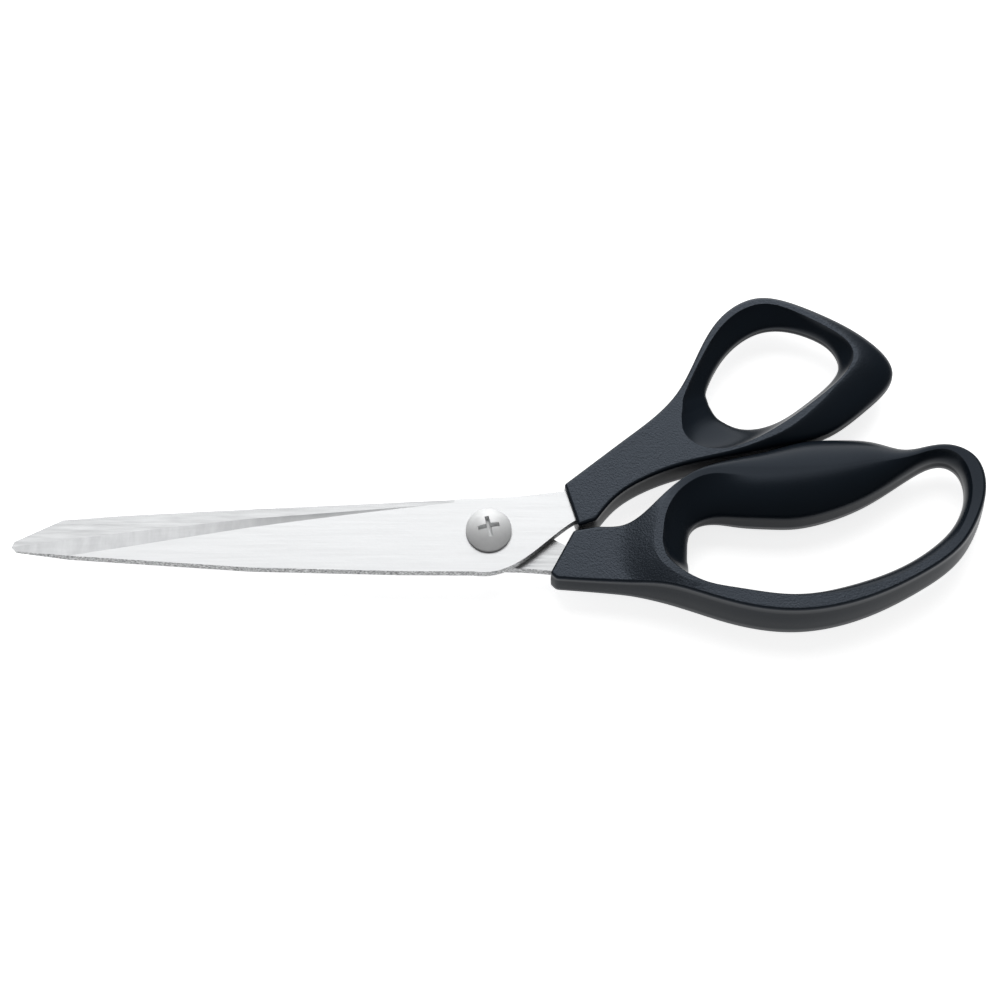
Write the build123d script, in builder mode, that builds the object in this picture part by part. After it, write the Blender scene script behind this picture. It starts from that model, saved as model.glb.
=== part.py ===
"""Fabric shears, 250 mm class: two crossed stainless blades, each with a moulded bow handle.

The pivot axis is Z. The blades point along -X and the bows lie on the +X side. The finger half is
the lower one and stays still; the thumb half turns about the pivot screw. Millimetres.
"""
from build123d import *
import os

# ---- Driving dimensions -------------------------------------------------------------------------
BLADE_T = 3.0               # stock of both blades
RIDE_GAP = 0.1              # between the two inner faces
SCREW_PROUD = 0.5           # end of the screw below the nut
NUT_H = 4.0                 # M5 nut
NUT_AF = 8.0
NUT_ROUND = 0.56            # radius that takes the nut's corners off, over its width across flats
SPRING_T = 1.0              # split spring washer for M5
SPRING_D = 9.2
SPRING_SPLIT = 0.8
SPRING_SPLIT_TURN = 20      # degrees, the split runs across the ring at a slant
BORE_D = 5.1                # clearance holes on the M5 end

SHOULDER_D = 6.0            # bearing part of the pivot screw
THREAD_D = 5.0
THREAD_LEAD_IN = 0.4
RUNNING_CLEARANCE = 0.05    # radial, thumb blade on the shoulder
HEAD_D = 11.9
HEAD_RIM = 0.9              # straight side of the head
HEAD_H = 3.9
HEAD_LIFT = 0.05            # under the head, so that the thumb blade turns
CROSS_SPAN = 5.8            # recess, across two arms
CROSS_ARM = 1.25
CROSS_DEPTH = 2.2
CROSS_TAPER = 8             # degrees, the recess narrows as it goes down
CROSS_TURN = 12             # degrees, as the screw was left

RIDE_WASHER_D = 11.0        # bearing washer between the blades
RIDE_WASHER_T = 0.6
RIDE_WASHER_SEAT = 0.25     # counterbore in each blade
RIDE_WASHER_LIFT = 0.04     # over the washer, so that the thumb blade turns
RIDE_WASHER_PLAY = 0.3      # round the washer, in the thumb blade

EDGE_LAND = 0.35            # thickness left at a cutting edge
BEVEL_OVER = 1.0            # how far the tool that grinds a bevel runs past the blade
HANDLE_HALF = 8.55          # half of the handles' greatest thickness
COLLAR_HALF = 4.5           # the same where the blade goes in
THUMB_HALF = 5.8            # the same at the thumb bow
HANDLE_ROUND = 0.8          # radius along the handles' outer edges
MOUTH_OVER = 0.6            # how far the tool that dishes a finger hole runs past the handle
SIDE_REACH = 80             # past both handles along Y

# ---- Heights, up from the surface that the shears lie on ------------------------------------------
FINGER_Z = SCREW_PROUD + NUT_H + SPRING_T
THUMB_Z = FINGER_Z + BLADE_T + RIDE_GAP
MID_Z = THUMB_Z - RIDE_GAP / 2
TOP_Z = THUMB_Z + BLADE_T

# ---- Plan outlines (X, Y) -----------------------------------------------------------------------
TIP = (-124.2, -3.4)

# The cutting edge faces +Y on the thumb blade and -Y on the finger blade.
THUMB_EDGE = [TIP, (-95, 0.6), (-62, 4.5), (-23, 7.7), (-9, 8.9)]
THUMB_TOP = [(-9, 8.9), (7, 9.6), (20, 11.2)]
THUMB_SPINE = [TIP, (-122.8, -5.0), (-109, -6.9), (-62, -10.2), (-23, -11.2), (-4, -11.3)]
THUMB_HEEL = [(-4, -11.3), (6, -9.6), (12, -5.5), (22.4, 2.9)]
THUMB_BEVEL = [6.0, 5.2, 3.5, 1.4, 0.9]          # width of the bevel at each point of the edge

TIP_CORNER = (-123.4, -1.8)
FINGER_CLIP = (-111, 4.2)
FINGER_SPINE = [FINGER_CLIP, (-95, 5.5), (-62, 7.3), (-10, 9.9)]
FINGER_SHANK = [(-10, 9.9), (0, 9.4), (8, 6.2), (17, -1.2), (21, -3.2)]
FINGER_EDGE = [TIP, (-95, -3.3), (-62, -7.0), (-23, -9.2), (-9, -9.9)]
FINGER_HEEL = [(-9, -9.9), (4, -9.2), (16, -9.9)]
FINGER_BEVEL = [4.0, 5.2, 3.5, 1.4, 0.9]

THUMB_TANG = [(20, 11.2), (27, 16), (43, 29.5), (47.5, 24), (31, 9.5), (22.4, 2.9)]
THUMB_TANG_HOLE = (40, 22.8)
FINGER_TANG = [(21, -3.2), (39, -4.5), (39, -11), (24, -11), (16, -9.9)]
FINGER_TANG_HOLE = (32, -7.6)
TANG_HOLE_R = 2.0

# Each outer outline runs from its blade end round the bow and back.
THUMB_OUTER = [
    (28, 2.5), (33, 8.6), (40, 13.4), (50, 17.4), (64.6, 20.8), (78, 24.4), (89, 28.0), (99, 35.4),
    (105.6, 45.6), (99, 54.9), (82, 63.3), (70.5, 65.5), (62.3, 61.2), (55.4, 50.8), (49, 38), (36, 25.6),
]
THUMB_END = [(19.5, 12.6), (23.2, 0.9)]
THUMB_HOLE = [
    (57, 38.8), (60.3, 47.9), (67, 55.6), (76, 58.5), (86.4, 55.5), (91.6, 50), (91, 45), (84, 37.4),
    (76, 31.6), (68, 29.3), (60.3, 32.4),
]
THUMB_LIP = [
    (50.4, 36), (56, 49.4), (64.5, 61.0), (74, 63.6), (88, 57.6), (95.2, 50), (93.4, 43.8), (86, 37),
    (77, 30.0), (65.5, 23.0), (53.5, 23.8),
]

FINGER_OUTER = [
    (28, 0.9), (36, 1.4), (43.5, 6.3), (49.8, 12.6), (62, 15.2), (85, 20.0), (102, 21.6), (119, 23.7),
    (127.5, 19.8), (129.6, 12.5), (123, -4.8), (112.5, -13.2), (97, -20.8), (79, -24.2), (62, -21.6),
    (46, -16.6), (34, -15.0),
]
FINGER_END = [(17.5, -13.8), (15.8, -12.2), (22, -0.2)]
FINGER_HOLE = [
    (51.4, -5.5), (53, 1.6), (57.5, 4.1), (68, 3.3), (79, 3.1), (91.6, 6.3), (102.1, 11.3), (112, 17.9),
    (117.7, 20.0), (122.6, 17.4), (124, 10.7), (120.3, 0.6), (112.5, -6.7), (102, -12.8), (91.6, -17),
    (79, -19.7), (66, -18.3), (56, -15.2),
]
FINGER_LIP = [
    (45.4, -3.5), (48.5, 4.0), (56, 6.0), (68, 4.5), (79, 4.3), (91.6, 7.5), (102.1, 12.6), (112, 19.0),
    (117.7, 21.0), (124.0, 18.4), (126.0, 10.7), (122.2, -0.6), (113.5, -8.2), (102.6, -13.8),
    (91.8, -17.4), (79, -19.8), (66, -18.5), (55, -16.0),
]

# Palm swell: X, centre Y, half width, half thickness of each elliptical section.
SWELL = [
    (53, 8.2, 6.0, 7.2), (61, 11.1, 7.6, 7.8), (72, 12.3, 9.6, 8.3), (83, 13.9, 10.1, 8.5),
    (94, 16.1, 9.0, 8.2), (102, 17.7, 7.2, 7.4), (113, 20.7, 3.0, 6.2),
]
SWELL_ZONE = (55, 111, -1, 40)   # low and high X, low and high Y of the bar that the swell stands for

# Half thickness of each handle along X: blade end, throat, bow, far end.
THUMB_SIDE = [(18, COLLAR_HALF), (32, 5.0), (50, 5.5), (66, THUMB_HALF), (90, THUMB_HALF), (107, 5.4)]
FINGER_SIDE = [(14, COLLAR_HALF), (29, 5.0), (40, 6.2), (55, 8.2), (66, 8.6), (88, 8.6), (131, 5.9)]


def bevel_section(x, y, width, inner_z, outer_z):
    """Triangle over a bevel: from the land at the edge to the bevel's far side on the outer face."""
    side = 1 if outer_z > inner_z else -1
    land = inner_z + side * EDGE_LAND
    slope = (outer_z - land) / width
    with BuildSketch(Plane(origin=(x, 0, 0), x_dir=(0, 1, 0), z_dir=(1, 0, 0))) as section:
        with BuildLine():
            Polyline(
                (y + side * BEVEL_OVER, land - BEVEL_OVER * slope),
                (y - side * (width + BEVEL_OVER), outer_z + BEVEL_OVER * slope),
                (y + side * BEVEL_OVER, outer_z + BEVEL_OVER * slope),
                close=True,
            )
        make_face()
    return section.sketch


def bevel_sections(edge, widths, inner_z, outer_z):
    """Sections along the whole edge, the first of them carried on past the tip."""
    (x0, y0), (x1, y1) = edge[:2]
    beyond = (x0 - BEVEL_OVER, y0 - BEVEL_OVER * (y1 - y0) / (x1 - x0))
    stations = zip([beyond, *edge[1:]], widths)
    return [bevel_section(x, y, width, inner_z, outer_z) for (x, y), width in stations]


def side_view(half_at):
    """A handle seen along Y: its half thickness above and below the middle plane."""
    with BuildSketch(Plane.XZ) as side:
        with BuildLine():
            top = Spline(*[(x, MID_Z + half) for x, half in half_at])
            bottom = Spline(*[(x, MID_Z - half) for x, half in half_at])
            Line(top @ 0, bottom @ 0)
            Line(top @ 1, bottom @ 1)
        make_face()
    return side.sketch


def plan_view(outer, end):
    """A handle seen along Z: one smooth line round the bow and straight lines at the blade end."""
    with BuildSketch() as plan:
        with BuildLine():
            bow = Spline(*outer)
            Polyline(bow @ 1, *end, bow @ 0)
        make_face()
    return plan.sketch


def bow_edges(part):
    """The edges above and below the wall that runs round a handle."""
    wall = part.faces().sort_by(SortBy.AREA)[-1]
    return wall.edges().filter_by(Axis.Z, reverse=True)


def ring(points, z):
    """A smooth closed outline at height z."""
    with BuildSketch(Plane.XY.offset(z)) as closed:
        with BuildLine():
            Spline(*points, periodic=True)
        make_face()
    return closed.sketch


def ellipse(x, y, half_width, half_height):
    """An upright section of the palm swell, across X."""
    plane = Plane(origin=(x, y, MID_Z), x_dir=(0, 1, 0), z_dir=(1, 0, 0))
    with BuildSketch(plane) as section:
        Ellipse(half_width, half_height)
    return section.sketch


os.makedirs("parts", exist_ok=True)

# ---- Blades -------------------------------------------------------------------------------------
with BuildPart() as thumb_blade:
    with BuildSketch(Plane.XY.offset(THUMB_Z)):
        with BuildLine():
            Polyline(*THUMB_EDGE)
            Polyline(*THUMB_TOP)
            Polyline(*THUMB_TANG)
            Spline(*THUMB_HEEL)
            Polyline(*THUMB_SPINE)
        make_face()
        with Locations(THUMB_TANG_HOLE):
            Circle(TANG_HOLE_R, mode=Mode.SUBTRACT)
    extrude(amount=BLADE_T)
    loft(bevel_sections(THUMB_EDGE, THUMB_BEVEL, THUMB_Z, TOP_Z), ruled=True, mode=Mode.SUBTRACT)
    with Locations((0, 0, TOP_Z)):
        Hole(SHOULDER_D / 2 + RUNNING_CLEARANCE)
    with BuildSketch(Plane.XY.offset(THUMB_Z)):
        Circle(RIDE_WASHER_D / 2 + RIDE_WASHER_PLAY)
    extrude(amount=RIDE_WASHER_SEAT + RIDE_WASHER_LIFT, mode=Mode.SUBTRACT)
thumb_blade.part.label = "thumb_blade"
export_step(thumb_blade.part, "parts/thumb_blade.step")

with BuildPart() as finger_blade:
    with BuildSketch(Plane.XY.offset(FINGER_Z)):
        with BuildLine():
            Polyline(*FINGER_EDGE)
            Polyline(TIP, TIP_CORNER, FINGER_CLIP)
            Polyline(*FINGER_SPINE)
            Spline(*FINGER_SHANK)
            Polyline(*FINGER_TANG)
            Spline(*FINGER_HEEL)
        make_face()
        with Locations(FINGER_TANG_HOLE):
            Circle(TANG_HOLE_R, mode=Mode.SUBTRACT)
    extrude(amount=BLADE_T)
    inner_face = FINGER_Z + BLADE_T
    loft(bevel_sections(FINGER_EDGE, FINGER_BEVEL, inner_face, FINGER_Z), ruled=True, mode=Mode.SUBTRACT)
    with Locations((0, 0, inner_face)):
        Hole(BORE_D / 2)
    with BuildSketch(Plane.XY.offset(inner_face)):
        Circle(RIDE_WASHER_D / 2)
    extrude(amount=-RIDE_WASHER_SEAT, mode=Mode.SUBTRACT)
finger_blade.part.label = "finger_blade"
export_step(finger_blade.part, "parts/finger_blade.step")

# ---- Handles, moulded over the tangs --------------------------------------------------------------
with BuildPart() as thumb_handle:
    extrude(plan_view(THUMB_OUTER, THUMB_END), amount=2 * MID_Z)
    extrude(side_view(THUMB_SIDE), amount=SIDE_REACH, both=True, mode=Mode.INTERSECT)
    fillet(bow_edges(thumb_handle.part), radius=HANDLE_ROUND)
    for face in (1, -1):
        waist, mouth = ring(THUMB_HOLE, MID_Z), ring(THUMB_LIP, MID_Z + face * (THUMB_HALF + MOUTH_OVER))
        loft([waist, mouth], mode=Mode.SUBTRACT)
    add(thumb_blade.part, mode=Mode.SUBTRACT)
thumb_handle.part.label = "thumb_handle"
export_step(thumb_handle.part, "parts/thumb_handle.step")

with BuildPart() as finger_handle:
    extrude(plan_view(FINGER_OUTER, FINGER_END), amount=2 * MID_Z)
    extrude(side_view(FINGER_SIDE), amount=SIDE_REACH, both=True, mode=Mode.INTERSECT)
    fillet(bow_edges(finger_handle.part), radius=HANDLE_ROUND)
    with BuildSketch():
        low_x, high_x, low_y, high_y = SWELL_ZONE
        with Locations(((low_x + high_x) / 2, (low_y + high_y) / 2)):
            Rectangle(high_x - low_x, high_y - low_y)
    extrude(amount=2 * MID_Z, mode=Mode.SUBTRACT)
    loft([ellipse(*section) for section in SWELL])
    for face in (1, -1):
        waist, mouth = ring(FINGER_HOLE, MID_Z), ring(FINGER_LIP, MID_Z + face * (HANDLE_HALF + MOUTH_OVER))
        loft([waist, mouth], mode=Mode.SUBTRACT)
    add(finger_blade.part, mode=Mode.SUBTRACT)
finger_handle.part.label = "finger_handle"
export_step(finger_handle.part, "parts/finger_handle.step")

# ---- Pivot --------------------------------------------------------------------------------------
head_z = TOP_Z + HEAD_LIFT
shoulder_z = FINGER_Z + BLADE_T - RIDE_WASHER_SEAT
with BuildPart() as pivot_screw:
    with BuildSketch(Plane.XZ):
        with BuildLine():
            crown = TangentArc((0, head_z + HEAD_H), (HEAD_D / 2, head_z + HEAD_RIM), tangent=(1, 0))
            Polyline(
                crown @ 1,
                (HEAD_D / 2, head_z),
                (SHOULDER_D / 2, head_z),
                (SHOULDER_D / 2, shoulder_z),
                (THREAD_D / 2, shoulder_z),
                (THREAD_D / 2, THREAD_LEAD_IN),
                (THREAD_D / 2 - THREAD_LEAD_IN, 0),
                (0, 0),
                crown @ 0,
            )
        make_face()
    revolve(axis=Axis.Z)
    with BuildSketch(Plane.XY.offset(head_z + HEAD_H)):
        Rectangle(CROSS_SPAN, CROSS_ARM, rotation=CROSS_TURN)
        Rectangle(CROSS_ARM, CROSS_SPAN, rotation=CROSS_TURN)
    extrude(amount=-CROSS_DEPTH, taper=CROSS_TAPER, mode=Mode.SUBTRACT)
pivot_screw.part.label = "pivot_screw"
export_step(pivot_screw.part, "parts/pivot_screw.step")

with BuildPart() as blade_washer:
    with BuildSketch(Plane.XY.offset(shoulder_z)):
        Circle(RIDE_WASHER_D / 2)
        Circle(SHOULDER_D / 2 + RUNNING_CLEARANCE, mode=Mode.SUBTRACT)
    extrude(amount=RIDE_WASHER_T)
blade_washer.part.label = "blade_washer"
export_step(blade_washer.part, "parts/blade_washer.step")

with BuildPart() as spring_washer:
    with BuildSketch(Plane.XY.offset(SCREW_PROUD + NUT_H)):
        Circle(SPRING_D / 2)
        Circle(BORE_D / 2, mode=Mode.SUBTRACT)
        with Locations((0, SPRING_D / 2)):
            Rectangle(SPRING_SPLIT, SPRING_D, rotation=SPRING_SPLIT_TURN, mode=Mode.SUBTRACT)
    extrude(amount=SPRING_T)
spring_washer.part.label = "spring_washer"
export_step(spring_washer.part, "parts/spring_washer.step")

with BuildPart() as pivot_nut:
    with BuildSketch(Plane.XY.offset(SCREW_PROUD)):
        RegularPolygon(NUT_AF / 2, 6, major_radius=False)
    extrude(amount=NUT_H)
    with BuildSketch(Plane.XY.offset(SCREW_PROUD)):
        Circle(NUT_AF * NUT_ROUND)
    extrude(amount=NUT_H, mode=Mode.INTERSECT)
    with Locations((0, 0, SCREW_PROUD + NUT_H)):
        Hole(THREAD_D / 2)
pivot_nut.part.label = "pivot_nut"
export_step(pivot_nut.part, "parts/pivot_nut.step")
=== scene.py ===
"""Looks of the fabric shears: moulded bow handles, satin blades and a pivot screw, round the CAD frame.

Sizes are in millimetres unless a comment says otherwise, and MM turns them to the frame's metres.
"""
import math

import bpy
import numpy as np
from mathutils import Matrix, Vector


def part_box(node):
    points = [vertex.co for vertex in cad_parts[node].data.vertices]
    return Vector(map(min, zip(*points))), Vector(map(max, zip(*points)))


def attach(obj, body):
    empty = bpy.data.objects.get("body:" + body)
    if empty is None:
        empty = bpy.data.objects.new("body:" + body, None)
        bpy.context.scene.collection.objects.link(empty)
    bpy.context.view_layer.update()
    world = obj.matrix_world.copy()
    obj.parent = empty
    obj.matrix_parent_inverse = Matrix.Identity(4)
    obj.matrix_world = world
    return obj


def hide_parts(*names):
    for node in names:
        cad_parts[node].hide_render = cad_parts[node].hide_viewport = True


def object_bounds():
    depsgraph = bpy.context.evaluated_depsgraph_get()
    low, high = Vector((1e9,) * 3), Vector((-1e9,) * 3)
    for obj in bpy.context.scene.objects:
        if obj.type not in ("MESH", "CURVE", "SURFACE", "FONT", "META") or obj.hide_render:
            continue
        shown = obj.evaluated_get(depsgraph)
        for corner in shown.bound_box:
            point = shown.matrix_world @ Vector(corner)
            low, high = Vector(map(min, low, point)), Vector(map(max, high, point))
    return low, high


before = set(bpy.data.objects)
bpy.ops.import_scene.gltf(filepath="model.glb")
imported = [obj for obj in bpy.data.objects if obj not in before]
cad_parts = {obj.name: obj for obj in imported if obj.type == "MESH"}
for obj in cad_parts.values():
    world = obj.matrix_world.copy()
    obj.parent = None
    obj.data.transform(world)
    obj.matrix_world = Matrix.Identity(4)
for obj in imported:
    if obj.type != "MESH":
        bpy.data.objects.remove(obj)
cad_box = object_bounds()

# ---- Driving sizes --------------------------------------------------------------------------------
MM = 0.001
VIEW_TILT = math.radians(22)        # of the camera, from straight down
VIEW_DISTANCE = 1450
VIEW_RIGHT, VIEW_BACK = 0.2, 9.9    # where the camera looks: past the object's middle in X, and Y
LENS, SENSOR = 200, 36
STATIONS = 900                      # round each handle
EDGE_SMOOTHING = 0.5                # along the outline: it rounds the corners of the blade end
NORMAL_SMOOTHING = 1.3              # so that the rolled edge turns a corner without folding
WAIST_SMOOTHING = 1.75              # for the waist and the lip
VALUE_SMOOTHING = 3.5               # for the sizes that change from station to station
DRAFT = 0.02                        # lean of the outer walls, so that the moulding leaves its tool

thumb_low, thumb_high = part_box("thumb_handle")
MIDDLE = (thumb_low.z + thumb_high.z) / 2 / MM      # height of both handles' middle plane

# ---- The handles' stations ------------------------------------------------------------------------
# Each row is one station round a handle. Lengths are in mm, and ridge, dome, grain and own are shares:
#   outline x, y        the outer edge, seen from above
#   waist x, y          the edge of the finger hole, at the middle plane
#   lip x, y            where the dish round the hole meets the top face, or the crest of the swell
#   roll, drop, ridge   width and depth of the outer edge's rounding, and how sharply it starts
#   land                half height of the upright wall at the waist
#   dome                1 where waist to lip is domed, 0 where it is dished
#   grain               1 where the top face is textured
#   band                width of the rim that goes round the lip
#   thick, own          half thickness at the lip, and how far it counts in place of the side view's
FINGER_STATIONS = np.array([
    (22.0, -0.2, 51.6, -3.4, 45.1, -3.4, 0.8, 0.8, 0, 1.0, 0, 1, 2.2, 8.4, 0),
    (28.0, 0.9, 51.7, -2.2, 45.3, -1.6, 0.8, 0.8, 0, 1.0, 0, 1, 2.2, 8.4, 0),
    (36.0, 1.4, 51.9, -1.0, 45.6, 1.2, 0.9, 0.9, 0, 1.0, 0, 1, 2.1, 8.4, 0),
    (43.3, 6.7, 52.3, 0.4, 46.7, 4.9, 0.6, 0.8, 0, 1.0, 0, 1, 1.9, 8.4, 0),
    (49.2, 12.3, 53.8, 2.3, 49.7, 9.7, 0.5, 0.7, 0, 1.2, 0, 0.2, 1.7, 7.9, 1),
    (54.6, 16.0, 56.2, 3.4, 54.7, 13.4, 0.8, 1.2, 0, 1.8, 0.2, 0, 1.5, 7.8, 1),
    (60.1, 18.3, 59.8, 3.9, 59.9, 14.4, 2.2, 2.6, 0, 2.6, 0.6, 0, 0.7, 7.8, 1),
    (65.4, 20.0, 64.0, 3.6, 65.1, 13.8, 4.2, 4.4, 0, 3.6, 1, 0, 0.2, 8.0, 1),
    (70.8, 21.4, 68.5, 3.3, 70.2, 13.3, 5.2, 4.6, 0, 4.0, 1, 0, 0.2, 8.3, 1),
    (76.0, 23.2, 74.0, 3.1, 75.4, 13.6, 7.4, 6.0, 0, 4.0, 1, 0, 0.2, 8.4, 1),
    (81.2, 25.0, 79.5, 3.1, 80.6, 14.2, 9.6, 7.4, 0, 4.0, 1, 0, 0.2, 8.5, 1),
    (91.6, 26.1, 90.5, 5.8, 91.0, 16.0, 9.9, 7.9, 0, 4.0, 1, 0, 0.2, 8.2, 1),
    (102.1, 25.0, 100.5, 10.4, 101.2, 17.8, 7.0, 7.1, 0, 3.4, 1, 0, 0.2, 7.4, 1),
    (108.6, 22.9, 107.6, 15.0, 108.0, 19.0, 3.6, 5.2, 0, 2.6, 0.8, 0, 0.2, 6.8, 1),
    (113.5, 23.2, 112.4, 18.2, 112.7, 20.5, 2.0, 3.2, 0, 2.0, 0.4, 0, 0.3, 6.5, 1),
    (119.5, 23.7, 117.3, 20.0, 118.0, 21.9, 1.0, 1.4, 0, 1.6, 0.1, 0, 0.3, 6.4, 1),
    (127.2, 20.0, 122.6, 17.4, 124.0, 18.6, 1.0, 1.2, 0, 1.0, 0.6, 0, 0.3, 6.3, 1),
    (129.6, 12.5, 124.0, 10.7, 125.9, 10.9, 1.0, 1.2, 0, 1.0, 0.7, 0, 0.3, 6.3, 1),
    (127.7, 3.6, 121.8, 3.2, 124.0, 2.6, 1.0, 1.2, 0, 1.4, 0.7, 0.1, 0.3, 6.4, 1),
    (123.0, -4.8, 117.6, -2.4, 120.2, -3.7, 0.9, 1.0, 0, 2.2, 0.7, 0.3, 0.3, 6.6, 1),
    (112.5, -13.2, 108.6, -9.4, 110.6, -11.3, 0.8, 0.8, 0, 3.6, 0.6, 0.8, 0.3, 7.0, 1),
    (97.0, -20.8, 94.5, -15.6, 95.6, -18.0, 0.8, 0.8, 0, 5.0, 0.8, 1, 0.3, 7.8, 0),
    (79.0, -24.2, 79.0, -19.0, 79.0, -20.0, 0.8, 0.8, 0, 6.8, 1, 1, 0.3, 8.4, 0),
    (62.0, -21.6, 64.5, -17.4, 64.3, -17.9, 0.8, 0.8, 0, 7.2, 1, 0.8, 0.4, 8.4, 0),
    (54.0, -19.0, 57.4, -16.0, 57.0, -16.3, 0.8, 0.8, 0, 6.0, 0.9, 0.6, 1.0, 8.4, 0),
    (46.0, -16.6, 52.9, -13.6, 51.3, -13.6, 0.8, 0.8, 0, 3.0, 0.4, 0.8, 2.0, 8.4, 0),
    (34.0, -15.0, 51.8, -10.0, 46.8, -9.8, 0.8, 0.8, 0, 1.0, 0, 1, 2.2, 8.4, 0),
    (17.5, -13.8, 51.5, -7.6, 45.4, -6.6, 0.8, 0.8, 0, 1.0, 0, 1, 2.3, 8.4, 0),
    (15.8, -12.2, 51.5, -7.2, 45.3, -6.2, 0.8, 0.8, 0, 1.0, 0, 1, 2.3, 8.4, 0),
])
FINGER_CORNERS = (0, 27, 28)        # rows that are corners of the blade end, not on the smooth line

THUMB_STATIONS = np.array([
    (23.2, 0.9, 58.3, 35.2, 50.4, 30.3, 0.9, 0.9, 0, 0.8, 0, 1, 0.2, 0, 0),
    (28.0, 2.5, 58.7, 34.4, 50.5, 28.6, 0.9, 0.9, 0, 0.8, 0, 1, 0.2, 0, 0),
    (33.0, 8.6, 59.2, 33.6, 51.0, 26.8, 0.9, 0.9, 0, 0.8, 0, 1, 0.2, 0, 0),
    (40.0, 13.4, 60.0, 32.6, 52.3, 24.9, 0.9, 0.9, 0, 0.8, 0, 1, 0.2, 0, 0),
    (50.0, 17.4, 62.0, 31.2, 56.0, 22.6, 1.0, 1.0, 0.1, 0.8, 0, 1, 0.2, 0, 0),
    (64.6, 20.8, 67.5, 29.4, 65.3, 23.0, 1.0, 1.2, 0.5, 0.8, 0, 1, 0.2, 0, 0),
    (78.0, 24.4, 76.0, 31.5, 76.5, 29.0, 2.4, 3.8, 1, 0.8, 0, 1, 0.2, 0, 0),
    (89.0, 28.0, 83.2, 36.6, 84.8, 35.3, 7.2, 4.8, 1, 0.8, 0, 1, 0.2, 0, 0),
    (99.0, 35.4, 89.5, 42.3, 92.2, 42.0, 9.3, 4.8, 1, 0.8, 0, 1, 0.2, 0, 0),
    (106.3, 45.6, 92.1, 47.6, 95.8, 48.4, 10.4, 4.8, 0.8, 0.8, 0, 1, 0.2, 0, 0),
    (99.0, 54.9, 90.2, 52.4, 93.6, 53.4, 5.2, 3.4, 0.5, 0.8, 0, 1, 0.2, 0, 0),
    (90.0, 60.0, 86.0, 55.7, 88.0, 57.3, 2.2, 2.4, 0.4, 0.8, 0, 1, 0.2, 0, 0),
    (82.0, 63.3, 80.0, 57.9, 81.2, 60.9, 1.2, 1.4, 0.2, 0.8, 0, 1, 0.2, 0, 0),
    (70.5, 65.4, 70.8, 57.5, 71.3, 63.4, 1.0, 1.0, 0, 0.8, 0, 1, 0.2, 0, 0),
    (62.3, 61.2, 64.5, 53.3, 63.8, 59.7, 1.0, 1.0, 0, 0.8, 0, 1, 0.2, 0, 0),
    (55.4, 50.8, 59.6, 46.6, 57.1, 50.6, 0.9, 0.9, 0, 0.8, 0, 1, 0.2, 0, 0),
    (49.0, 38.0, 57.2, 40.9, 51.9, 39.4, 0.9, 0.9, 0, 0.8, 0, 1, 0.2, 0, 0),
    (36.0, 25.7, 57.2, 38.2, 50.7, 34.8, 0.9, 0.9, 0, 0.8, 0, 1, 0.2, 0, 0),
    (19.5, 12.6, 57.8, 36.2, 50.4, 31.8, 0.9, 0.9, 0, 0.8, 0, 1, 0.2, 0, 0),
])
THUMB_CORNERS = (0, 18)

# Half thickness along X, as in a side view, and the rim that stands over it round the finger bow.
FINGER_SIDE = [(14, 4.5), (29, 4.8), (40, 5.9), (52, 7.9), (64, 8.45), (84, 8.45), (110, 7.2), (131, 5.9)]
THUMB_SIDE = [(18, 4.5), (32, 5.0), (50, 5.5), (66, 5.8), (90, 5.8), (107, 5.4)]
RIM_HALF = 8.4                      # half thickness at the finger bow's rim
RIM_FALL = 9.5                      # from the rim to where the collar is flat again
RIM_LAW = 1.5                       # power of the rise to the rim
RIM_BAND = (0.4, 1.4)               # a band of the first width has no rim, and of the second a full one

# The thumb handle's shank, from the middle of its blade end to the bow. Its sections bend along it.
THUMB_SHANK = np.array([(21.4, 6.8), (48.0, 28.0)])
SHANK_PULL = 0.6                    # how far towards the blade end the sections bend
SHANK_REACH = (12.0, 27.0)          # lengths of section at which the bend starts and is full

# A section's curves. Each cubic's control values run from its low end to its high end.
DISH_OUT = (0, 0, 0.70, 1)          # the dish, from waist to lip
DISH_UP = (0, 0.34, 0.58, 1)        # and from land to lip
ROUND = 0.552                       # control length of the cubic that stands for a quarter circle
RIDGE_OUT, RIDGE_LOW, RIDGE_HIGH = 0.05, 0.1, 0.4   # what a full ridge moves its control values by
ROLL_SQUARE, ROLL_TURNED = 1.5, 4.5     # widest roll square to the outline, and narrowest turned one
FILL_SQUARE, FILL_TURNED = 0.5, 0.8     # the same, as shares of the top face's width
FILL_MOST = 0.96                    # and the widest roll of all, as such a share
GRAIN_FADE = 6                      # power with which the grain fades down the rolled edge

# Where a section is sampled, as shares of each part: closer together where the surface turns.
LAND_STEPS = np.array([0, 0.5])[:, None]
BOWL_STEPS = np.concatenate([np.linspace(0, 0.94, 13), [0.975, 1]])[:, None]
RIM_STEPS = np.array([0.04, 0.5, 0.96])[:, None, None]
FACE_STEPS = np.concatenate([[0, 0.015], np.linspace(0.06, 1, 13)])[:, None, None]
EDGE_STEPS = np.linspace(1, 0, 11)[1:, None]
WALL_STEPS = np.array([2 / 3, 1 / 3, 0])[:, None]


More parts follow.
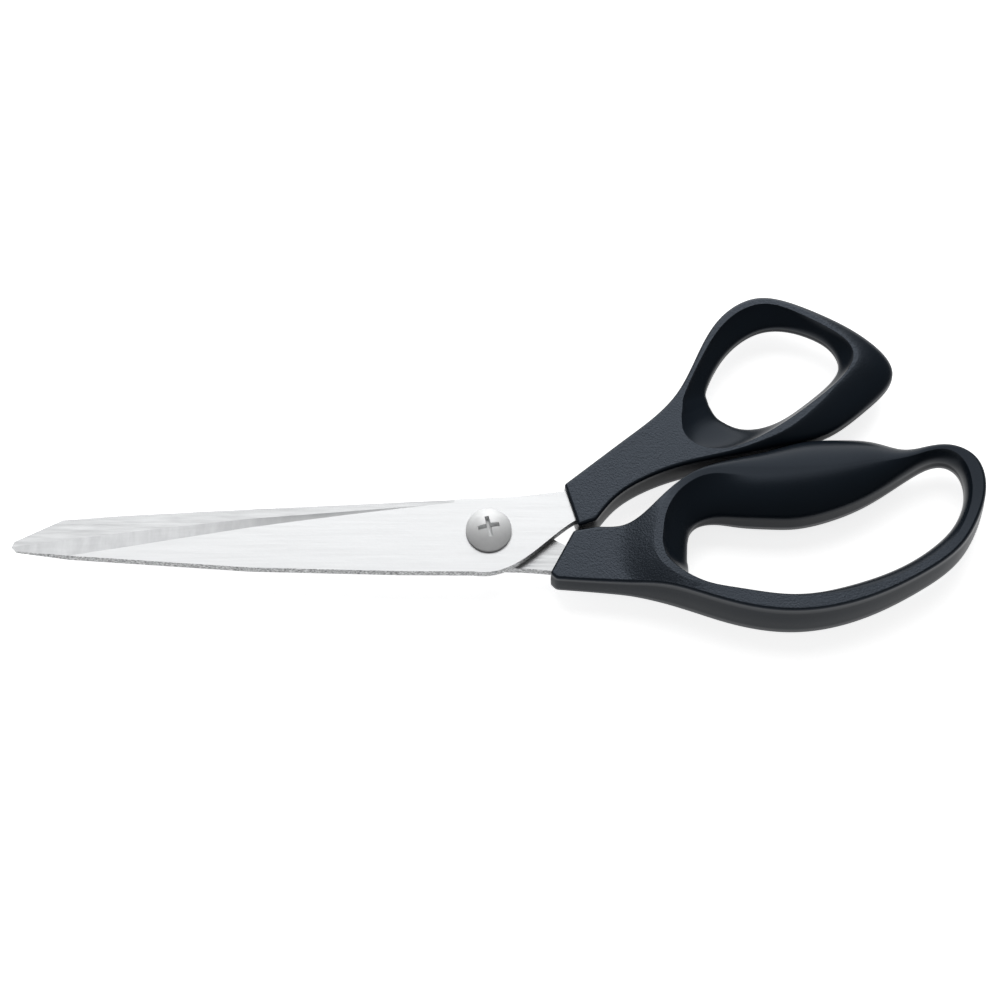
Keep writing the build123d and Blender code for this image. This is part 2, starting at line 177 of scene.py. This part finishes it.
# ---- Curves ---------------------------------------------------------------------------------------
def smooth_slopes(knots, points, closed):
    """Slopes at the knots of the cubic whose bending is continuous: each knot's equation weighs the two
    chords beside it by each other's length, and an open line's ends are left unbent."""
    count = len(points)
    gaps = np.diff(knots)
    chords = (np.roll(points, -1, axis=0) - points)[:len(gaps)] / gaps[:, None]
    matrix = np.zeros((count, count))
    right = np.zeros_like(points)
    rows = np.arange(count) if closed else np.arange(1, count - 1)
    before, after = (rows - 1) % len(gaps), rows % len(gaps)
    matrix[rows, (rows - 1) % count] += gaps[after]
    matrix[rows, rows] += 2 * (gaps[before] + gaps[after])
    matrix[rows, (rows + 1) % count] += gaps[before]
    right[rows] = 3 * (gaps[after, None] * chords[before] + gaps[before, None] * chords[after])
    if not closed:
        matrix[0, :2] = matrix[-1, :-3:-1] = (2, 1)
        right[0], right[-1] = 3 * chords[0], 3 * chords[-1]
    return np.linalg.solve(matrix, right)


def smooth_line(knots, points, where, closed=False):
    """Points on the smooth cubic through the given points, at the places `where` along the knots.
    On each span the cubic is the usual blend of two ends and two end slopes."""
    slopes = smooth_slopes(knots, points, closed)
    span = np.clip(np.searchsorted(knots, where, side="right") - 1, 0, len(knots) - 2)
    gap = (knots[span + 1] - knots[span])[:, None]
    t = (where - knots[span])[:, None] / gap
    following = (span + 1) % len(points)
    ends = points[span] * (1 + 2 * t) * (1 - t) ** 2 + points[following] * (3 - 2 * t) * t ** 2
    bends = slopes[span] * t * (1 - t) ** 2 - slopes[following] * t ** 2 * (1 - t)
    return ends + bends * gap


def smoothed(values, spread, spacing):
    """Values round a closed loop, averaged with a bell curve of the given spread, by Fourier series."""
    waves = np.fft.rfftfreq(len(values), spacing)
    bell = np.exp(-2 * (np.pi * waves * spread) ** 2)
    return np.fft.irfft(np.fft.rfft(values, axis=0) * bell[:, None], len(values), axis=0)


def cubic(t, first, second, third, fourth):
    """The Bezier cubic of four control values, at t."""
    return (first * (1 - t) ** 3 + 3 * second * t * (1 - t) ** 2
            + 3 * third * t ** 2 * (1 - t) + fourth * t ** 3)


def ramp(value, low, high):
    """0 at low, 1 at high, straight between them and level outside."""
    return np.clip((value - low) / (high - low), 0, 1)


def unit(vectors):
    """Vectors of length 1 that point the same way."""
    return vectors / np.linalg.norm(vectors, axis=1, keepdims=True)


def side_half(profile, x):
    """Half thickness at x, on the smooth line through a side view's points."""
    points = np.array(profile, float)
    shape = np.shape(x)
    inside = np.clip(np.ravel(x), points[0, 0], points[-1, 0])
    return smooth_line(points[:, 0], points[:, 1:], inside).reshape(shape)


# ---- Meshes ---------------------------------------------------------------------------------------
def closed_grid(name, grid, **values):
    """A mesh from a grid of points, in mm, that closes on itself both ways, as a ring does. Its faces
    are turned outwards by the sign of the volume that they enclose. values are vertex attributes."""
    rows, columns = grid.shape[:2]
    index = np.arange(rows * columns).reshape(rows, columns)
    across, along = np.roll(index, -1, axis=0), np.roll(index, -1, axis=1)
    faces = np.stack([index, along, np.roll(across, -1, axis=1), across], axis=-1).reshape(-1, 4)
    points = grid.reshape(-1, 3)
    corners = points[faces]
    halves = np.cross(corners[:, 2] - corners[:, 0], corners[:, 3] - corners[:, 1])
    if (halves * corners.mean(axis=1)).sum() < 0:
        faces = faces[:, ::-1]
    mesh = bpy.data.meshes.new(name)
    mesh.from_pydata((points * MM).tolist(), [], faces.tolist())
    mesh.polygons.foreach_set("use_smooth", np.ones(len(faces), bool))
    for key, value in values.items():
        attribute = mesh.attributes.new(key, "FLOAT", "POINT")
        attribute.data.foreach_set("value", np.ascontiguousarray(value, np.float32).ravel())
    piece = bpy.data.objects.new(name, mesh)
    bpy.context.scene.collection.objects.link(piece)
    return piece


def stations_round(table, corners):
    """Evenly spaced stations round a handle, from its table. The outline is one smooth line through the
    bow's rows and straight through the corner rows, and then its corners are rounded by averaging."""
    outline = table[:, :2]
    gaps = np.linalg.norm(np.roll(outline, -1, axis=0) - outline, axis=1)
    knots = np.concatenate([[0], np.cumsum(gaps)])
    where = np.linspace(0, knots[-1], STATIONS, endpoint=False)
    spacing = knots[-1] / STATIONS
    bow = [row for row in range(len(table)) if row not in corners]
    straight = np.vstack([outline, outline[:1]])
    outer = np.stack([np.interp(where, knots, straight[:, k]) for k in (0, 1)], axis=1)
    on_bow = (where >= knots[bow[0]]) & (where <= knots[bow[-1]])
    outer[on_bow] = smooth_line(knots[bow], outline[bow], where[on_bow])
    inner = smooth_line(knots, table[:, 2:6], where, closed=True)
    sizes = np.vstack([table[:, 6:], table[:1, 6:]])
    sizes = np.stack([np.interp(where, knots, sizes[:, k]) for k in range(sizes.shape[1])], axis=1)
    return (smoothed(outer, EDGE_SMOOTHING, spacing), smoothed(inner, WAIST_SMOOTHING, spacing),
            smoothed(sizes, VALUE_SMOOTHING, spacing), spacing)


def inward(outline, spacing):
    """Unit normals of a closed outline, towards the side that it encloses."""
    along = smoothed(outline, NORMAL_SMOOTHING, spacing)
    along = np.roll(along, -1, axis=0) - np.roll(along, 1, axis=0)
    x, y = outline.T
    turn = np.sign((x * np.roll(y, -1) - y * np.roll(x, -1)).sum())
    return unit(np.stack([-along[:, 1], along[:, 0]], axis=1) * turn)


def shank_middle(middle, length, shank, blade_end):
    """Middles of the top face, drawn to the shank's line where a section is long. On the line each one
    is at SHANK_PULL of its own distance from the blade end, whose direction is blade_end."""
    start, line = shank[0], shank[1] - shank[0]
    from_end = np.array([-blade_end[1], blade_end[0]])
    along = ((middle - start) @ from_end)[:, None] / (line @ from_end) * SHANK_PULL
    share = ramp(length, *SHANK_REACH)
    return middle + (start + along * line - middle) * share * share * (3 - 2 * share)


def roll_heading(outer, middle, roll, normal):
    """Which way each rolled edge heads, and its width. A narrow one is square to the outline. One that
    is wide, or that fills the top face, heads for the face's middle."""
    width = 2 * np.linalg.norm(middle - outer, axis=1)
    turned = np.maximum(ramp(roll, ROLL_SQUARE, ROLL_TURNED), ramp(roll / width, FILL_SQUARE, FILL_TURNED))
    heading = unit(normal * (1 - turned[:, None]) + unit(middle - outer) * turned[:, None])
    return heading, np.minimum(roll, FILL_MOST * width)


def bowl(waist, lip, land, at_lip, dome):
    """From the land to the lip: points from above, and half heights. Dish: a cubic that leaves the land
    upright, eases, and climbs to the lip. Dome: the arc of an ellipse whose crest is at the lip."""
    dished = land + (at_lip - land) * cubic(BOWL_STEPS, *DISH_UP)
    reach = np.sqrt(np.clip(1 - (land / at_lip) ** 2, 0, 1))
    domed = at_lip * np.sqrt(np.clip(1 - (reach * (1 - BOWL_STEPS)) ** 2, 0, 1))
    out = cubic(BOWL_STEPS, *DISH_OUT) * (1 - dome) + BOWL_STEPS * dome
    return waist + (lip - waist) * out[..., None], dished * (1 - dome) + domed * dome


def handle(name, table, corners, side, rim=None, shank=None):
    """A handle as a ring of upright sections. From the waist a section goes up the land, over the bowl
    to the lip, across the rim and the top face, round the rolled outer edge and down the outer wall.
    Below the middle plane it is the same, mirrored.

    Top face: a curve of three control points, the middle one halfway across, or drawn to the shank's
    line. Rolled edge: a cubic from the upright wall to the top face, which is a quarter ellipse where
    ridge is 0 and a slope with a sharp start where it is 1. Outer wall: it leans in by DRAFT."""
    outer, inner, sizes, spacing = stations_round(table, corners)
    waist, lip = inner[:, :2], inner[:, 2:]
    roll, drop, ridge, land, dome, grain, band, thick, own = np.clip(sizes, 0, None).T
    to_lip = outer - lip
    length = np.linalg.norm(to_lip, axis=1, keepdims=True)
    rim_edge = lip + to_lip / length * band[:, None]
    middle = (rim_edge + outer) / 2
    if shank is not None:
        middle = shank_middle(middle, length, shank, table[corners[0], :2] - table[corners[-1], :2])
    heading, roll = roll_heading(outer, middle, roll, inward(outer, spacing))
    roll_edge = outer + heading * roll[:, None]
    middle = middle + heading * roll[:, None] / 2

    def top(points):
        """Half thickness at points of the top face: the side view's, raised towards the rim by a power
        law over RIM_FALL, or the station's own."""
        half = side_half(side, points[..., 0])
        if rim:
            away = np.linalg.norm(points - rim_edge, axis=-1)
            inside = ((points - rim_edge) * to_lip).sum(axis=-1) < 0
            share = np.where(inside, 1, np.clip(1 - away / RIM_FALL, 0, 1) ** RIM_LAW)
            half = half + (rim - half) * share * ramp(band, *RIM_BAND)
        return half * (1 - own) + thick * own

    hollow, hollow_z = bowl(waist, lip, land, top(lip), dome)
    rim_face = lip + (rim_edge - lip) * RIM_STEPS
    face = (rim_edge * (1 - FACE_STEPS) ** 2 + middle * 2 * FACE_STEPS * (1 - FACE_STEPS)
            + roll_edge * FACE_STEPS ** 2)

    roll_x = cubic(EDGE_STEPS, 0, 0, 1 - ROUND + RIDGE_OUT * ridge, 1)
    roll_z = cubic(EDGE_STEPS, 0, ROUND - RIDGE_LOW * ridge, 1 - RIDGE_HIGH * ridge, 1)
    at_edge = top(roll_edge)
    wall_top = at_edge - drop
    edge = outer + heading * (DRAFT * wall_top * (1 - roll_x) + roll * roll_x)[..., None]
    edge_z = at_edge - drop * (1 - roll_z)
    wall_z = wall_top * WALL_STEPS
    wall = outer + heading * (DRAFT * wall_z)[..., None]

    land_xy = np.broadcast_to(waist, (len(LAND_STEPS), *waist.shape))
    plan = np.concatenate([land_xy, hollow, rim_face, face, edge, wall])
    half = np.concatenate([land * LAND_STEPS, hollow_z, top(rim_face), top(face), edge_z, wall_z])
    textured = np.concatenate([np.zeros((len(land_xy) + len(hollow), STATIONS)),
                               np.ones((len(rim_face) + len(face), STATIONS)) * grain,
                               roll_z ** GRAIN_FADE * grain, np.zeros((len(wall), STATIONS))])
    upright = np.zeros((len(plan), STATIONS))
    upright[:len(land_xy)] = upright[-len(wall):] = 1

    def mirrored(upper, lower):
        """The section's rows above the middle plane, and then those below it, on the way back."""
        return np.concatenate([upper, lower[-2:0:-1]])

    points = mirrored(np.concatenate([plan, MIDDLE + half[..., None]], axis=-1),
                      np.concatenate([plan, MIDDLE - half[..., None]], axis=-1))
    return closed_grid(name, points, grain=mirrored(textured, textured), wall=mirrored(upright, upright))


# ---- Materials ------------------------------------------------------------------------------------
def linear(colour):
    """A hex sRGB colour as linear red, green, blue and alpha."""
    share = np.array([int(colour[k:k + 2], 16) for k in (1, 3, 5)]) / 255
    straight = np.where(share <= 0.04045, share / 12.92, ((share + 0.055) / 1.055) ** 2.4)
    return (*straight, 1.0)


def add_node(tree, kind, sockets=None, **settings):
    """One node. settings are its own properties; sockets are its inputs, each a value or an output."""
    new = tree.nodes.new(kind)
    for key, value in settings.items():
        setattr(new, key, value)
    for key, value in (sockets or {}).items():
        if isinstance(value, bpy.types.NodeSocket):
            tree.links.new(value, new.inputs[key])
        else:
            new.inputs[key].default_value = value
    return new


def new_material(name):
    """An empty material: its node tree, its shader and the object coordinates that patterns read."""
    material = bpy.data.materials.new(name)
    material.use_nodes = True
    tree = material.node_tree
    tree.nodes.clear()
    shader = add_node(tree, "ShaderNodeBsdfPrincipled")
    add_node(tree, "ShaderNodeOutputMaterial", {"Surface": shader.outputs["BSDF"]})
    place = add_node(tree, "ShaderNodeTexCoord").outputs["Object"]
    return material, tree, shader, place


def moulded_polypropylene():
    """Black polypropylene, injection moulded. The flats carry the tool's spark-eroded grain, which breaks
    a reflection into fine points and looks greyer. The bowls and the swell come from a smoother part
    of the tool, so that they look darker and mirror softly. The walls rub along the tool when the part
    is pushed out, and are duller still."""
    material, tree, shader, place = new_material("moulded_polypropylene")
    shader.inputs["IOR"].default_value = 1.49
    shader.inputs["Specular Tint"].default_value = linear("#dbe8fa")
    grain_size, flow_size = 0.5 * MM, 14 * MM      # the real grain is 0.3 mm, drawn coarser to show
    mask = add_node(tree, "ShaderNodeAttribute", attribute_name="grain").outputs["Fac"]
    grain = add_node(tree, "ShaderNodeTexNoise",
                     {"Vector": place, "Scale": 1 / grain_size, "Detail": 2.0, "Roughness": 0.6})
    height = add_node(tree, "ShaderNodeMath", {0: grain.outputs["Fac"], 1: mask}, operation="MULTIPLY")
    bump = add_node(tree, "ShaderNodeBump",
                    {"Height": height.outputs[0], "Strength": 0.9, "Distance": 0.13 * MM})
    tree.links.new(bump.outputs["Normal"], shader.inputs["Normal"])
    flow = add_node(tree, "ShaderNodeTexNoise", {"Vector": place, "Scale": 1 / flow_size, "Detail": 3.0})
    colour = add_node(tree, "ShaderNodeMix",
                      {0: flow.outputs["Fac"], 6: linear("#0f151b"), 7: linear("#141b23")}, data_type="RGBA")
    tree.links.new(colour.outputs[2], shader.inputs["Base Color"])
    rough = add_node(tree, "ShaderNodeMapRange", {"Value": mask, "To Min": 0.30, "To Max": 0.40})
    tree.links.new(rough.outputs["Result"], shader.inputs["Roughness"])
    gloss = add_node(tree, "ShaderNodeMapRange", {"Value": mask, "To Min": 0.20, "To Max": 0.60})
    wall = add_node(tree, "ShaderNodeAttribute", attribute_name="wall").outputs["Fac"]
    rubbed = 0.16                                   # gloss that the walls lose
    duller = add_node(tree, "ShaderNodeMath", {0: wall, 1: -rubbed, 2: gloss.outputs["Result"]},
                      operation="MULTIPLY_ADD")
    tree.links.new(duller.outputs[0], shader.inputs["Specular IOR Level"])
    return material


def satin_blade_steel():
    """Martensitic stainless steel. The flats are satin finished, with fine lines along the blade, and
    look nearly white. The ground bevels have cross marks and look a shade darker, and the blanked
    spine is grainy grey. The three are told apart by how level the surface is. The inner faces are
    ground at a slant, look a little darker than the flats, and are told apart by their height."""
    material, tree, shader, place = new_material("satin_blade_steel")
    shader.inputs["Metallic"].default_value = 1.0
    facing = add_node(tree, "ShaderNodeSeparateXYZ",
                      {0: add_node(tree, "ShaderNodeNewGeometry").outputs["True Normal"]})
    level = add_node(tree, "ShaderNodeMath", {0: facing.outputs["Z"]}, operation="ABSOLUTE").outputs[0]
    bevel = add_node(tree, "ShaderNodeMapRange",
                     {"Value": level, "From Min": 0.995, "From Max": 0.97}).outputs["Result"]
    spine = add_node(tree, "ShaderNodeMapRange",
                     {"Value": level, "From Min": 0.25, "From Max": 0.15}).outputs["Result"]

    def marks(x, y, turn, detail):
        """Noise drawn out to x by y millimetres, turned about the blade's normal."""
        mapped = add_node(tree, "ShaderNodeMapping",
                          {"Vector": place, "Rotation": (0, 0, math.radians(turn)),
                           "Scale": (1 / (x * MM), 1 / (y * MM), 1 / (y * MM))})
        noise = add_node(tree, "ShaderNodeTexNoise",
                         {"Vector": mapped.outputs["Vector"], "Scale": 1.0, "Detail": detail,
                          "Roughness": 0.6})
        return add_node(tree, "ShaderNodeMapRange",
                        {"Value": noise.outputs["Fac"], "From Min": 0.35,
                         "From Max": 0.65}).outputs["Result"]

    def tones(factor, dark, light):
        """A colour between two hex colours."""
        return add_node(tree, "ShaderNodeMix", {0: factor, 6: linear(dark), 7: linear(light)},
                        data_type="RGBA").outputs[2]

    satin = marks(x=24, y=0.45, turn=0, detail=3.0)         # lines are finer; as wide as needs to show
    cross = marks(x=2.6, y=14, turn=8, detail=4.0)          # wheel marks, across the bevel
    grit = marks(x=0.6, y=0.6, turn=0, detail=3.0)          # torn grain of the blanked edge, drawn coarse
    ground = marks(x=9, y=0.8, turn=-24, detail=4.0)        # the inner faces' marks run at a slant
    height = add_node(tree, "ShaderNodeSeparateXYZ", {0: place}).outputs["Z"]
    inner_reach = 0.3 * MM                                  # the inner faces lie this near the middle plane
    inner = add_node(tree, "ShaderNodeMath", {0: height, 1: MIDDLE * MM, 2: inner_reach},
                     operation="COMPARE").outputs[0]
    flat_tone = tones(satin, "#adaeaf", "#b4b5b6")
    ground_tone = tones(ground, "#9c9d9e", "#a9aaab")
    bevel_tone = tones(cross, "#8b8c8d", "#959697")
    spine_tone = tones(grit, "#6c6d6e", "#d6d7d8")
    level_tone = add_node(tree, "ShaderNodeMix", {0: inner, 6: flat_tone, 7: ground_tone},
                          data_type="RGBA").outputs[2]
    worked = add_node(tree, "ShaderNodeMix", {0: bevel, 6: level_tone, 7: bevel_tone}, data_type="RGBA")
    colour = add_node(tree, "ShaderNodeMix", {0: spine, 6: worked.outputs[2], 7: spine_tone},
                      data_type="RGBA")
    tree.links.new(colour.outputs[2], shader.inputs["Base Color"])
    rough = add_node(tree, "ShaderNodeMapRange", {"Value": satin, "To Min": 0.28, "To Max": 0.36})
    rougher = add_node(tree, "ShaderNodeMath", {0: spine, 1: 0.3, 2: rough.outputs["Result"]},
                       operation="MULTIPLY_ADD")
    tree.links.new(rougher.outputs[0], shader.inputs["Roughness"])
    bump = add_node(tree, "ShaderNodeBump", {"Height": satin, "Strength": 0.12, "Distance": 0.02 * MM})
    tree.links.new(bump.outputs["Normal"], shader.inputs["Normal"])
    return material


def plated_screw_steel():
    """Mild steel screw, zinc plated and passivated. The film on the zinc scatters light, so that the
    head looks a soft light grey with a faint cloudiness, not a mirror."""
    material, tree, shader, place = new_material("plated_screw_steel")
    shader.inputs["Metallic"].default_value = 0.15
    cloud_size = 1.5 * MM
    clouds = add_node(tree, "ShaderNodeTexNoise", {"Vector": place, "Scale": 1 / cloud_size, "Detail": 3.0})
    colour = add_node(tree, "ShaderNodeMix",
                      {0: clouds.outputs["Fac"], 6: linear("#dfe0e1"), 7: linear("#ebecec")},
                      data_type="RGBA")
    tree.links.new(colour.outputs[2], shader.inputs["Base Color"])
    rough = add_node(tree, "ShaderNodeMapRange",
                     {"Value": clouds.outputs["Fac"], "To Min": 0.42, "To Max": 0.52})
    tree.links.new(rough.outputs["Result"], shader.inputs["Roughness"])
    return material


def pressed_acetal():
    """White acetal washer, punched from sheet: waxy, with a faint mottling."""
    material, tree, shader, place = new_material("pressed_acetal")
    shader.inputs["IOR"].default_value = 1.48
    mottle_size = 1.0 * MM
    mottle = add_node(tree, "ShaderNodeTexNoise", {"Vector": place, "Scale": 1 / mottle_size})
    colour = add_node(tree, "ShaderNodeMix",
                      {0: mottle.outputs["Fac"], 6: linear("#dad8d0"), 7: linear("#e6e4dd")},
                      data_type="RGBA")
    tree.links.new(colour.outputs[2], shader.inputs["Base Color"])
    shader.inputs["Roughness"].default_value = 0.4
    return material


def finish_node(name, material):
    """Gives a carried-over CAD node its material, in its own slots."""
    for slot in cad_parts[name].material_slots:
        slot.material = material


# ---- Stage ----------------------------------------------------------------------------------------
def camera_and_light():
    """A long lens from above the cutting side, a big soft light behind, and a pale floor lit evenly."""
    scene = bpy.context.scene
    scene.view_settings.view_transform = "Standard"
    low, high = cad_box
    target = Vector(((low[0] + high[0]) / 2 + VIEW_RIGHT * MM, VIEW_BACK * MM, MIDDLE * MM))
    away = Vector((0, -math.sin(VIEW_TILT), math.cos(VIEW_TILT)))
    lens = bpy.data.cameras.new("camera")
    lens.lens, lens.sensor_width = LENS, SENSOR
    lens.clip_end = 20
    camera = bpy.data.objects.new("camera", lens)
    camera.location = target + away * VIEW_DISTANCE * MM
    camera.rotation_euler = (VIEW_TILT, 0, 0)
    scene.collection.objects.link(camera)
    scene.camera = camera

    softbox("back_softbox", elevation=38, distance=0.9, width=0.9, height=1.4, power=10)

    floor_mesh = bpy.data.meshes.new("floor")
    half = 6.0
    floor_mesh.from_pydata([(-half, -half, 0), (half, -half, 0), (half, half, 0), (-half, half, 0)], [],
                           [(0, 1, 2, 3)])
    floor = bpy.data.objects.new("floor", floor_mesh)
    scene.collection.objects.link(floor)
    material, _, shader, _ = new_material("lit_white_acrylic")
    shader.inputs["Base Color"].default_value = linear("#f4f4f4")
    shader.inputs["Roughness"].default_value = 0.9
    shader.inputs["Emission Color"].default_value = linear("#ffffff")
    shader.inputs["Emission Strength"].default_value = 0.78
    floor_mesh.materials.append(material)

    world = bpy.data.worlds.new("dim_room")
    world.use_nodes = True
    world.node_tree.nodes["Background"].inputs["Color"].default_value = linear("#ffffff")
    world.node_tree.nodes["Background"].inputs["Strength"].default_value = 0.20
    scene.world = world


def softbox(name, elevation, distance, width, height, power):
    """A rectangular light that faces the pivot from behind, at an elevation in degrees."""
    data = bpy.data.lights.new(name, "AREA")
    data.shape, data.size, data.size_y, data.energy = "RECTANGLE", width, height, power
    light = bpy.data.objects.new(name, data)
    rise = math.radians(elevation)
    direction = Vector((0, math.cos(rise), math.sin(rise)))
    light.location = direction * distance
    light.rotation_euler = direction.to_track_quat("Z", "Y").to_euler()
    bpy.context.scene.collection.objects.link(light)


# ---- The shears -----------------------------------------------------------------------------------
camera_and_light()

polypropylene = moulded_polypropylene()
finger_grip = handle("finger_grip", FINGER_STATIONS, FINGER_CORNERS, FINGER_SIDE, RIM_HALF)
thumb_grip = handle("thumb_grip", THUMB_STATIONS, THUMB_CORNERS, THUMB_SIDE, shank=THUMB_SHANK)
for grip, body, node in ((finger_grip, "finger_half", "finger_handle"),
                         (thumb_grip, "thumb_half", "thumb_handle")):
    grip.data.materials.append(polypropylene)
    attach(grip, body)
    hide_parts(node)

steel = satin_blade_steel()
screw = plated_screw_steel()
finish_node("finger_blade", steel)
finish_node("thumb_blade", steel)
finish_node("pivot_screw", screw)
finish_node("pivot_nut", screw)
finish_node("spring_washer", screw)
finish_node("blade_washer", pressed_acetal())
